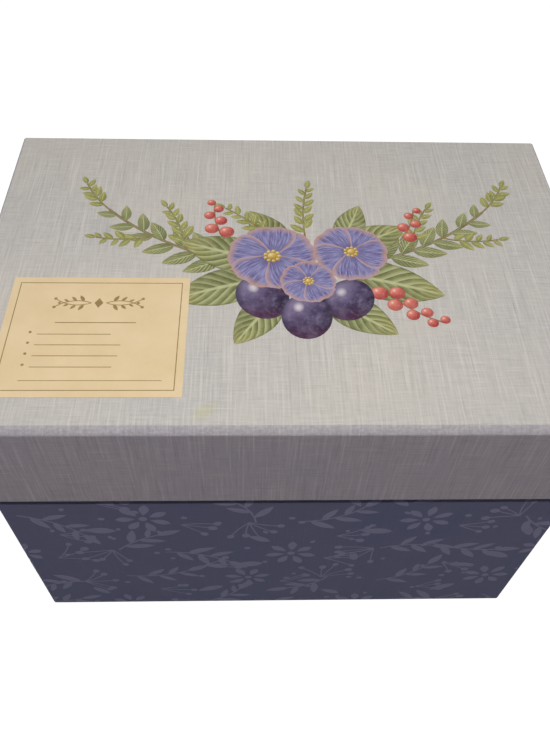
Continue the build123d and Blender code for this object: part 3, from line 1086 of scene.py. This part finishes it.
@dataclass
class LidSpray(PrintSheet):
    """A crescent of five-petalled flowers, plums, currants and leaves, printed on the lid.

    Each row of its tables starts with a place, to the right of the spray's middle and up from
    it, and a turn in degrees. The sizes that follow are those that its method takes.
    """

    seed: int = 5
    middle: tuple[float, float] = (4.0, -12.0)
    flower_petals: int = 5
    stamens: int = 9
    arm_length: float = 52
    arm_bend: float = 36
    leaf_width: float = 0.5
    fans: Rows = (
        (-10, 4, 196, 27), (-8, 10, 158, 28), (6, -2, 318, 24), (12, 6, 346, 29),
        (-6, -2, 232, 22), (10, 14, 28, 25), (-4, 16, 118, 20), (12, 18, 64, 19),
    )
    sprigs: Rows = ((2, 20, 96, 24, -18, 6, 6.0), (-8, 20, 124, 20, 22, 5, 5.5))
    strings: Rows = (
        (22, 2, -62, 22, 40, 8, 5.0), (-22, 20, 118, 17, -34, 6, 4.6),
        (30, 20, 52, 15, 30, 5, 4.2),
    )
    plums: Rows = ((-11, -3, 118, 17), (13, -4, 62, 16), (1, -10, 84, 16.5))
    flowers: Rows = ((-8, 13, 20, 27), (15, 15, 62, 23), (2, 3, 84, 17))

    def sprig(self, place: Matrix, length: float, bend: float, pairs: int, leaf: float) -> None:
        """Draws a thin bending stalk with small leaves in pairs and one at its tip.

        Args:
            place: Where it starts and how it is turned.
            length: Of the stalk.
            bend: How far it turns in all, in degrees.
            pairs: Pairs of leaves.
            leaf: Length of the largest leaf.
        """
        steps = 2 * (pairs + 1)
        stops = self.stalk(place, length, math.radians(bend), 0.55, SprayInk.STALK, steps)
        for number in range(pairs):
            share = 1 - 0.45 * number / pairs
            for side in (-1, 1):
                where = stops[2 * number + (2 if side > 0 else 3)]
                turn = at(0, 0, side * self.chance.uniform(34, 56))
                size = leaf * share * self.chance.uniform(0.85, 1.1)
                curl = side * self.chance.uniform(-0.12, 0.05)
                self.blade(
                    where @ turn, size, size * 0.46, SprayInk.SPRIG, 0.85, curl, rows=7
                )
        self.blade(stops[-1], leaf * 0.7, leaf * 0.32, SprayInk.SPRIG, rows=7)

    def flower(self, x: float, y: float, turn: float, size: float) -> None:
        """Draws a five-petalled flower with a ring of small stamens.

        Args:
            x: Place of its middle.
            y: Place of its middle.
            turn: Turn of its first petal, in degrees.
            size: Across its petals.
        """
        step = 360 / self.flower_petals
        for number in range(self.flower_petals):
            lean = self.chance.uniform(-5, 5)
            reach = size / 2 * self.chance.uniform(0.93, 1.04)
            place = at(x, y, turn + number * step + lean)
            self.petal(place, reach, reach * 1.12, SprayInk.PETAL)
        self.disc(at(x, y), size * 0.11, size * 0.11, SprayInk.HEART, 16)
        for number in range(self.stamens):
            around = TAU * number / self.stamens
            reach = size * 0.075
            spot = at(x + reach * math.cos(around), y + reach * math.sin(around))
            self.disc(spot, size * 0.05, size * 0.05, SprayInk.HEART, 8)

    def plum(self, place: Matrix, size: float) -> None:
        """Draws an oval plum with its short stalk. The size is its longer width."""
        self.stalk(place @ at(size * 0.42, 0), size * 0.42, 0.6, 0.7, SprayInk.STALK, 5)
        self.disc(place, size, size * 0.84, SprayInk.PLUM, 32)

    def currants(
        self, place: Matrix, length: float, bend: float, berries: int, size: float
    ) -> None:
        """Draws a hanging string of round berries that get smaller towards its end.

        Args:
            place: Where it hangs from and how it is turned.
            length: Of its stalk.
            bend: How far it turns in all, in degrees.
            berries: How many berries it has.
            size: Of the largest berry.
        """
        stops = self.stalk(place, length, math.radians(bend), 0.5, SprayInk.STALK, berries)
        for number in range(berries):
            width = size * (1 - 0.5 * number / berries)
            side = 1 if number % 2 else -1
            spot = (stops[number + 1] @ at(0, side * width * 0.42)).to_translation()
            self.disc(Matrix.Translation(spot), width, width, SprayInk.CURRANT, 20)

    def leaves(self) -> None:
        """Draws the large leaves that fan out behind the fruit."""
        x, y = self.middle
        for side, up, turn, length in self.fans:
            place = at(x + side, y + up, turn + self.chance.uniform(-4, 4))
            curl = self.chance.uniform(-0.12, 0.12)
            self.blade(
                place, length, length * self.leaf_width, SprayInk.LEAF, curl=curl, rows=16
            )

    def arms(self) -> None:
        """Draws the crescent's two arms, with their sprigs and small leaves."""
        x, y = self.middle
        for side in (-1, 1):
            start = at(x + side * 12, y + 9, 90 - side * 80)
            bend = side * math.radians(self.arm_bend)
            stops = self.stalk(start, self.arm_length, bend, 0.9, SprayInk.STALK, 14)
            for number, stop in enumerate(stops[2:-1]):
                way = 1 if number % 2 else -1
                size = 12.5 - 0.55 * number
                lean = at(0, 0, way * self.chance.uniform(36, 52))
                self.blade(
                    stop @ lean, size, size * 0.44, SprayInk.LEAF, 0.84, -way * 0.08, rows=10
                )
            self.sprig(stops[-1], 15, side * 20, 4, 5.5)
            self.sprig(stops[6] @ at(0, 0, side * 58), 20, side * -26, 5, 5.5)
            self.sprig(stops[9] @ at(0, 0, side * -50), 17, side * 30, 4, 5.2)

    def build(self) -> None:
        """Draws the whole spray, from its lowest layer up, and prints it on the lid."""
        x, y = self.middle
        self.arms()
        self.leaves()
        tables = (
            (self.sprig, self.sprigs), (self.currants, self.strings), (self.plum, self.plums)
        )
        for draw, rows in tables:
            for side, up, turn, *sizes in rows:
                draw(at(x + side, y + up, turn), *sizes)
        for side, up, turn, size in self.flowers:
            self.flower(x + side, y + up, turn, size)
        inks = [SPRAY_FINISHES[ink] for ink in SprayInk]
        self.piece("lid_spray_print", "lid", inks, LID.on_top)


class Motif(Enum):
    """The motifs of the base's pattern, in the order in which they follow one another."""

    VINE = 0
    DAISY = 1
    BUDS = 2


@dataclass
class BasePattern(PrintSheet):
    """A small all-over pattern of vines, daisies and buds, tone on tone round the base."""

    seed: int = 16
    cell_width: float = 28.0
    cell_height: float = 22.5
    corner: float = 1.0
    corner_steps: int = 4
    foot: float = 1.0
    vine_leaf: float = 9.6
    leaf_width: float = 0.3
    tip_leaf: tuple[float, float] = (8.4, 2.9)
    vine_width: float = 0.6
    daisy_petals: int = 7
    daisy_sizes: tuple[float, float] = (15.5, 18.5)
    bud_spread: float = 26.0
    bud_stalk: float = 0.45

    def __post_init__(self) -> None:
        """Starts an empty sheet and measures the walls."""
        super().__post_init__()
        width, depth, self.height = BASE.size()
        self.walls = (width - 2 * self.corner, depth - 2 * self.corner) * 2
        self.arc = self.corner * math.pi / 2
        self.round_length = sum(self.walls) + 4 * self.arc

    def vine(self, place: Matrix, length: float, leaves: int) -> None:
        """Draws a bending stalk with leaves that alternate.

        Args:
            place: Where it starts and how it is turned.
            length: Of the stalk.
            leaves: How many leaves it has.
        """
        bend = math.radians(self.chance.choice((-1, 1)) * self.chance.uniform(30, 60))
        stops = self.stalk(place, length, bend, self.vine_width, steps=leaves + 1)
        for number in range(leaves):
            side = 1 if number % 2 else -1
            size = self.vine_leaf * (1 - 0.3 * number / leaves) * self.chance.uniform(0.85, 1.1)
            place = stops[number + 1] @ at(0, 0, side * self.chance.uniform(38, 55))
            self.blade(place, size, size * self.leaf_width, curl=side * -0.06, rows=7)
        self.blade(stops[-1], *self.tip_leaf, rows=7)

    def daisy(self, place: Matrix) -> None:
        """Draws a daisy: narrow round-ended petals round a dot.

        Args:
            place: Where its middle is and how it is turned.
        """
        size = self.chance.uniform(*self.daisy_sizes)
        for number in range(self.daisy_petals):
            spot = place @ at(0, 0, 360 * number / self.daisy_petals) @ at(size * 0.13, 0)
            reach = size * 0.37 * self.chance.uniform(0.88, 1.08)
            self.blade(spot, reach, size * 0.17, fullness=1.25, rows=5)
        self.disc(place, size * 0.15, size * 0.15, sides=10)

    def buds(self, place: Matrix, stalks: int) -> None:
        """Draws a fan of thin stalks that end in round buds.

        Args:
            place: Where they start and how the fan is turned.
            stalks: How many there are.
        """
        for number in range(stalks):
            turn = at(0, 0, (number - (stalks - 1) / 2) * self.bud_spread)
            length = self.chance.uniform(8.0, 12.0)
            bend = self.chance.uniform(-0.5, 0.5)
            stops = self.stalk(place @ turn, length, bend, self.bud_stalk, steps=4)
            size = self.chance.uniform(2.2, 3.1)
            self.disc(stops[-1], size, size * 0.86, sides=12)

    def draw(self, motif: Motif, x: float, y: float) -> None:
        """Draws a motif.

        Args:
            motif: Which one.
            x: Its place along the wall.
            y: Its height.
        """
        turn = self.chance.uniform(0, 360)
        if motif is Motif.VINE:
            slant = at(x, y, turn / 4 - 45)
            self.vine(slant @ at(-11, 0), 22, 5)
            self.buds(slant @ at(2, -10), 3)
        elif motif is Motif.DAISY:
            self.daisy(at(x, y, turn))
            self.buds(at(x + 11, y - 4, turn / 5 - 40), 3)
            self.blade(at(x - 9, y - 8, 150 + turn / 5), 10.0, 3.6, rows=7)
            self.blade(at(x - 7, y + 9, 110 + turn / 5), 8.0, 3.0, rows=7)
        else:
            self.buds(at(x, y, turn), 5)
            self.vine(at(x + 2, y, turn + 170), 17, 4)

    def dots(self, x: float, y: float, pitch: float) -> None:
        """Draws the loose dots of one cell.

        Args:
            x: Place of the cell's motif.
            y: Place of the cell's motif.
            pitch: How far apart the cells are.
        """
        off = self.chance.uniform
        self.disc(at(x + pitch / 2 + off(-2, 2), y + off(-3, 3)), 2.1, 1.8, sides=10)
        for _ in range(2):
            reach, around = off(7, 11), off(0, 360)
            self.disc(at(x, y, around) @ at(reach, 0), off(1.5, 2.4), 1.5, sides=8)

    def build(self) -> None:
        """Draws the pattern, each row half a cell further on than the last, and prints it."""
        columns = round(self.round_length / self.cell_width)
        rows = round(self.height / self.cell_height) + 1
        pitch = self.round_length / columns
        for row, column in product(range(rows), range(columns + 1)):
            x = (column + 0.5 * (row % 2)) * pitch + self.chance.uniform(-2, 2)
            y = row * self.cell_height + self.chance.uniform(-2, 2)
            self.draw(Motif((column + 2 * row) % len(Motif)), x, y)
            self.dots(x, y, pitch)
        self.cut((0, 0, 0), (-1, 0, 0))
        self.cut((self.round_length, 0, 0), (1, 0, 0))
        self.cut((0, self.foot, 0), (0, -1, 0))
        self.cut((0, self.height, 0), (0, 1, 0))
        for bend in self.bends():
            self.cut((bend, 0, 0), (1, 0, 0), remove=False)
        self.piece("base_pattern_print", "base", [BASE_INK], self.wrapped)

    def bends(self) -> list[float]:
        """Gives the places round the base where the sheet starts, goes on or ends bending.

        Returns:
            Their distances along the sheet.
        """
        places, done = [], 0.0
        for run in self.walls:
            done += run
            steps = range(self.corner_steps + 1)
            places += [done + self.arc * step / self.corner_steps for step in steps]
            done += self.arc
        return places[:-1]

    def wrapped(self, spot: Vector) -> Vector:
        """Takes a point of the flat pattern to its place round the base.

        Args:
            spot: Distance round the base, height and thickness, in millimetres.

        Returns:
            The place in the frame, in metres.
        """
        left = min(max(spot.x, 0.0), self.round_length - 1e-6)
        side = 0
        while left > self.walls[side] + self.arc:
            left -= self.walls[side] + self.arc
            side += 1
        run, other = self.walls[side], self.walls[1 - side]
        turned = max(0.0, left - run) / self.corner
        reach = self.corner + spot.z
        place = Vector((
            min(left, run) - run / 2 + reach * math.sin(turned),
            -other / 2 - reach * math.cos(turned),
        ))
        place.rotate(Matrix.Rotation(side * TAU / 4, 2))
        return Vector((*BASE.middle().xy, BASE.low.z)) + Vector((*place, spot.y)) * MM


@dataclass
class LabelPrint(PrintSheet):
    """The label's brown border, ornament, rule, bullets and blank ruled lines."""

    border_inset: float = 2.1
    border_width: float = 0.26
    rule_length: float = 21.3
    rule_width: float = 0.3
    rule_y: float = 3.8
    title_y: float = 10.9
    bullet_x: float = -16.5
    bullet_y: float = 0.46
    bullet_pitch: float = 3.63
    bullet_size: float = 0.8
    line_gap: float = 1.8
    line_drop: float = 0.7
    line_width: float = 0.24
    line_lengths: tuple[float, ...] = (19.2, 22.1, 21.7, 20.6)
    last_line: tuple[float, float, float] = (-16.7, 18.9, -15.4)
    last_width: float = 0.2

    def ornament(self) -> None:
        """Draws a plain flourish over the rule: a lozenge between two leafy scrolls."""
        self.disc(at(0, self.title_y), 2.4, 3.6, sides=4)
        for side, way in product((-1, 1), (-1, 1)):
            lean = way * side
            scroll = at(side * 2.0, self.title_y, 90 - side * 90) @ at(0, 0, lean * 24)
            stops = self.stalk(scroll, 10.5, lean * -1.15, 0.26, steps=10)
            for number in (2, 4, 6, 8):
                size = 2.9 - 0.22 * number
                place = stops[number] @ at(0, 0, lean * 48)
                self.blade(place, size, size * 0.42, rows=6)
            self.disc(stops[-1], 0.9, 0.9, sides=12)

    def build(self) -> None:
        """Draws the print from the label's middle, and prints it."""
        width, depth, _ = LABEL.size()
        x, y = width / 2 - self.border_inset, depth / 2 - self.border_inset
        over = self.border_width / 2
        for side in (-1, 1):
            self.stroke((-x - over, side * y), (x + over, side * y), self.border_width)
            self.stroke((side * x, -y), (side * x, y), self.border_width)
        end = self.rule_length / 2
        self.stroke((-end, self.rule_y), (end, self.rule_y), self.rule_width)
        self.ornament()
        for number, length in enumerate(self.line_lengths):
            level = self.bullet_y - number * self.bullet_pitch
            bullet = at(self.bullet_x, level)
            self.disc(bullet, self.bullet_size, self.bullet_size, sides=14)
            start, foot = self.bullet_x + self.line_gap, level - self.line_drop
            self.stroke((start, foot), (start + length, foot), self.line_width)
        left, right, level = self.last_line
        self.stroke((left, level), (right, level), self.last_width)
        self.piece("lid_label_print", "lid", [LABEL_INK], LABEL.on_top)


@dataclass
class CardPrint:
    """Print on the front of one leaning sheet: a divider's tab and frame, or ruled lines."""

    rest_lean: float = 7.0
    rear_section: int = 9
    card_width: float = 152.4
    card_height: float = 101.6
    divider_thickness: float = 0.5
    frames: Rows = ((5.0, 0.5), (6.4, 0.22))
    panel_half: float = 0.34
    panel_rise: float = 0.44
    panel_height: float = 0.5
    table_margin: float = 8
    table_top: float = 9
    heading_height: float = 7.0
    heading_drop: float = 3
    table_rows: int = 10
    table_pitch: float = 7.6
    rows_drop: float = 14
    columns: tuple[float, ...] = (-0.34, 0.0, 0.34)
    columns_drop: tuple[float, float] = (82, 9)
    rule_width: float = 0.3

    def front(self, node: str, thickness: float) -> Callable[[Vector], Vector]:
        """Gives the way from a flat sheet to the front of a leaning one.

        Args:
            node: The leaning node whose front face is printed.
            thickness: How thick its sheets are together.

        Returns:
            A function from a spot on the sheet to a point in the frame.
        """
        low = Vector(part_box(node)[0])
        lean = math.radians(self.rest_lean)
        foot = Vector((0.0, low.y, low.z + thickness * MM * math.sin(lean)))
        up = Vector((0.0, math.sin(lean), math.cos(lean)))
        out = Vector((0.0, -math.cos(lean), math.sin(lean)))
        return lambda spot: (
            foot + Vector((spot.x * MM, 0, 0)) + up * spot.y * MM + out * spot.z * MM
        )

    def divider(self, number: int, tab_x: float, tab_width: float, tab_height: float) -> None:
        """Prints one divider: a pale panel on its tab, and a double frame.

        Args:
            number: Which divider it is.
            tab_x: Middle of its tab.
            tab_width: The tab's width at its foot.
            tab_height: How far the tab stands up.
        """
        sheet = PrintSheet()
        half = tab_width * self.panel_half
        y = self.card_height + tab_height * self.panel_rise
        sheet.stroke((tab_x - half, y), (tab_x + half, y), tab_height * self.panel_height, 1)
        for inset, weight in self.frames:
            x, low, high = self.card_width / 2 - inset, inset, self.card_height - inset
            for side in (-x, x):
                sheet.stroke((side, low), (side, high), weight)
            for level in (low, high):
                sheet.stroke((-x, level), (x, level), weight)
        body = "base" if number == self.rear_section else f"section_{number}"
        front = self.front(f"divider_{number}", self.divider_thickness)
        sheet.piece(f"divider_print_{number}", body, [CARD_INK, TAB_PANEL], front)

    def reference(self, stack: float) -> None:
        """Prints the front reference card: a heading band and a ruled table.

        Args:
            stack: How thick the stack of cards is.
        """
        sheet = PrintSheet()
        x, top = self.card_width / 2 - self.table_margin, self.card_height - self.table_top
        heading = top - self.heading_drop
        sheet.stroke((-x, heading), (x, heading), self.heading_height)
        for row in range(self.table_rows):
            level = top - self.rows_drop - row * self.table_pitch
            sheet.stroke((-x, level), (x, level), self.rule_width)
        low, high = (top - drop for drop in self.columns_drop)
        for share in self.columns:
            column = share * self.card_width
            sheet.stroke((column, low), (column, high), self.rule_width)
        front = self.front("reference_cards", stack)
        sheet.piece("reference_card_print", "reference_section", [CARD_INK], front)


@dataclass
class Contents:
    """Cards, dividers and pen."""

    sections: int = 9
    tab_places: int = 3
    tab_width: float = 44.0
    tab_height: float = 11.5
    tab_margin: float = 4.0
    divider_width: float = 154.0
    reference_stack: float = 2.4

    def build(self) -> None:
        """Dresses the contents and prints the sheets whose fronts show."""
        prints = CardPrint()
        span = self.divider_width - 2 * self.tab_margin - self.tab_width
        for number in range(1, self.sections + 1):
            place = (number - 1) % self.tab_places
            dress(DIVIDER_CARDS[place], f"divider_{number}")
            dress(RECIPE_CARD, f"recipe_cards_{number}")
            tab_x = -span / 2 + span * place / (self.tab_places - 1)
            prints.divider(number, tab_x, self.tab_width, self.tab_height)
        dress(REFERENCE_CARD, "reference_cards")
        prints.reference(self.reference_stack)
        dress(PEN_BODY, "pen_barrel", "pen_end_plug", "pen_cap")
        dress(PEN_METAL, "pen_band", "pen_cap_clip")
        dress(PEN_GRIP, "pen_grip")
        dress(PEN_REFILL, "pen_refill")
        dress(PEN_BRASS, "pen_point")


class Case:
    """The tray, its hinge and the lid."""

    def build(self) -> None:
        """Dresses the boards, papers and linings, and prints the designs."""
        dress(GREYBOARD, *sorted(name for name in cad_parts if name.endswith("_board")))
        dress(TAPE, "base_corner_stays", "lid_corner_stays")
        dress(LINING, "base_lining", "lid_lining")
        dress(STRIP, "hinge_strip_base", "hinge_strip_lid")
        dress(LID_PAPER, "lid_wrap_paper", "hinge_flap_paper")
        dress(BASE_PAPER, "base_wrap_paper")
        dress(UNDERSIDE, "base_underside_sheet")
        dress(LABEL_PAPER, "lid_label")
        for design in (LidSpray(), LabelPrint(), BasePattern()):
            design.build()


@dataclass(frozen=True)
class Lamp:
    """A round soft lamp and the spot that it looks at, in metres."""

    name: str
    place: tuple[float, float, float]
    aim: tuple[float, float, float]
    size: float
    power: float
    colour: tuple[float, float, float]

    def hang(self) -> None:
        """Hangs the lamp."""
        light = bpy.data.lights.new(self.name, "AREA")
        light.shape = "DISK"
        light.size = self.size
        light.energy = self.power
        light.color = self.colour
        ahead = Vector(self.aim) - Vector(self.place)
        turn = ahead.to_track_quat("-Z", "Y").to_matrix().to_4x4()
        added(self.name, light).matrix_world = Matrix.Translation(self.place) @ turn


KEY_TONE, TOP_TONE, FILL_TONE = (1.0, 0.975, 0.945), (1.0, 0.98, 0.95), (1.0, 0.99, 0.97)
LAMPS = (
    Lamp("key_lamp", (-0.02, -0.284, 0.648), (0.0, -0.02, 0.10), 0.02, 1.85, KEY_TONE),
    Lamp("top_lamp", (0.0, -0.03, 0.45), (0.0, -0.03, 0.0), 0.20, 0.50, TOP_TONE),
    Lamp("left_fill_lamp", (-0.75, 0.75, 0.25), (0.0, 0.0, 0.08), 0.6, 1.8, FILL_TONE),
    Lamp("right_fill_lamp", (0.75, 0.75, 0.25), (0.0, 0.0, 0.08), 0.6, 1.8, FILL_TONE),
)


@dataclass
class Studio:
    """Pale floor, plain soft lamps and the camera at the photograph's angle."""

    camera_place: tuple[float, float, float] = (-10.011 * MM, -152.687 * MM, 267.017 * MM)
    camera_angles: tuple[float, float, float] = (52.0594, 3.0267, 2.4400)
    focal_px: float = 723.94
    sensor: float = 24.0
    clip_start: float = 0.01
    floor_size: float = 6.0
    floor_shown: Colour = (0.32, 0.32, 0.32, 1)
    floor_glow: float = 0.9
    floor_felt: Colour = (0.08, 0.08, 0.09, 1)
    sky_tone: Colour = (0.93, 0.91, 1.0, 1)
    sky: float = 0.06

    def floor(self) -> None:
        """Lays the floor: white to the camera, dark to the box, and it keeps a soft shadow."""
        made = bmesh.new()
        bmesh.ops.create_grid(made, x_segments=1, y_segments=1, size=self.floor_size / 2)
        floor = meshed("studio_floor", made)
        white = bpy.data.materials.new("studio_floor_white")
        bench = Bench(white)
        shown = bench.seen_by("Camera", "Glossy", "Transmission")
        diffuse = bench.wire("BsdfDiffuse", {"Color": self.floor_shown})
        glow = bench.wire("Emission", {"Color": WHITE, "Strength": self.floor_glow})
        lit = bench.wire("AddShader", (diffuse, glow))
        plain = bench.wire("BsdfDiffuse", {"Color": self.floor_felt})
        picked = bench.wire("MixShader", (shown, plain, lit))
        bench.node("OutputMaterial", {"Surface": picked})
        floor.data.materials.append(white)

    def world(self) -> None:
        """Fills the room: white behind the object, and a dimmer even light on it."""
        world = bpy.data.worlds.new("studio_room")
        bpy.context.scene.world = world
        bench = Bench(world)
        shown = bench.seen_by("Camera", "Transmission")
        behind = bench.wire("Background", {"Color": WHITE, "Strength": 1.0})
        fill = bench.wire("Background", {"Color": self.sky_tone, "Strength": self.sky})
        picked = bench.wire("MixShader", (shown, fill, behind))
        bench.node("OutputWorld", {"Surface": picked})

    def camera_turn(self) -> Matrix:
        """Gives the camera's turn from its pitch, yaw and roll.

        Returns:
            Its right, its up and the way back from what it sees.
        """
        pitch, yaw, roll = map(math.radians, self.camera_angles)
        level = Vector((math.sin(yaw), math.cos(yaw), 0)) * math.cos(pitch)
        ahead = level - Vector((0, 0, math.sin(pitch)))
        right = Vector((math.cos(yaw), -math.sin(yaw), 0))
        up = right.cross(ahead)
        across = math.cos(roll) * right + math.sin(roll) * up
        above = math.cos(roll) * up - math.sin(roll) * right
        return Matrix((across, above, -ahead)).transposed().to_4x4()

    def camera(self) -> None:
        """Sets the camera where the photograph was taken from."""
        data = bpy.data.cameras.new("photo_camera")
        data.sensor_fit = "VERTICAL"
        data.sensor_height = self.sensor
        data.lens = self.focal_px * self.sensor / PHOTO_HEIGHT_PX
        data.clip_start = self.clip_start
        camera = added("photo_camera", data)
        camera.matrix_world = Matrix.Translation(self.camera_place) @ self.camera_turn()
        bpy.context.scene.camera = camera

    def build(self) -> None:
        """Builds the whole studio."""
        self.floor()
        self.world()
        for lamp in LAMPS:
            lamp.hang()
        self.camera()
        bpy.context.scene.view_settings.view_transform = "Standard"


def main() -> None:
    """Dresses the box, piece by piece, and sets up the studio."""
    logging.basicConfig(level=logging.INFO, format="%(name)s: %(message)s")
    for part in (Case(), Contents(), Studio()):
        part.build()


if __name__ == "__main__":
    main()
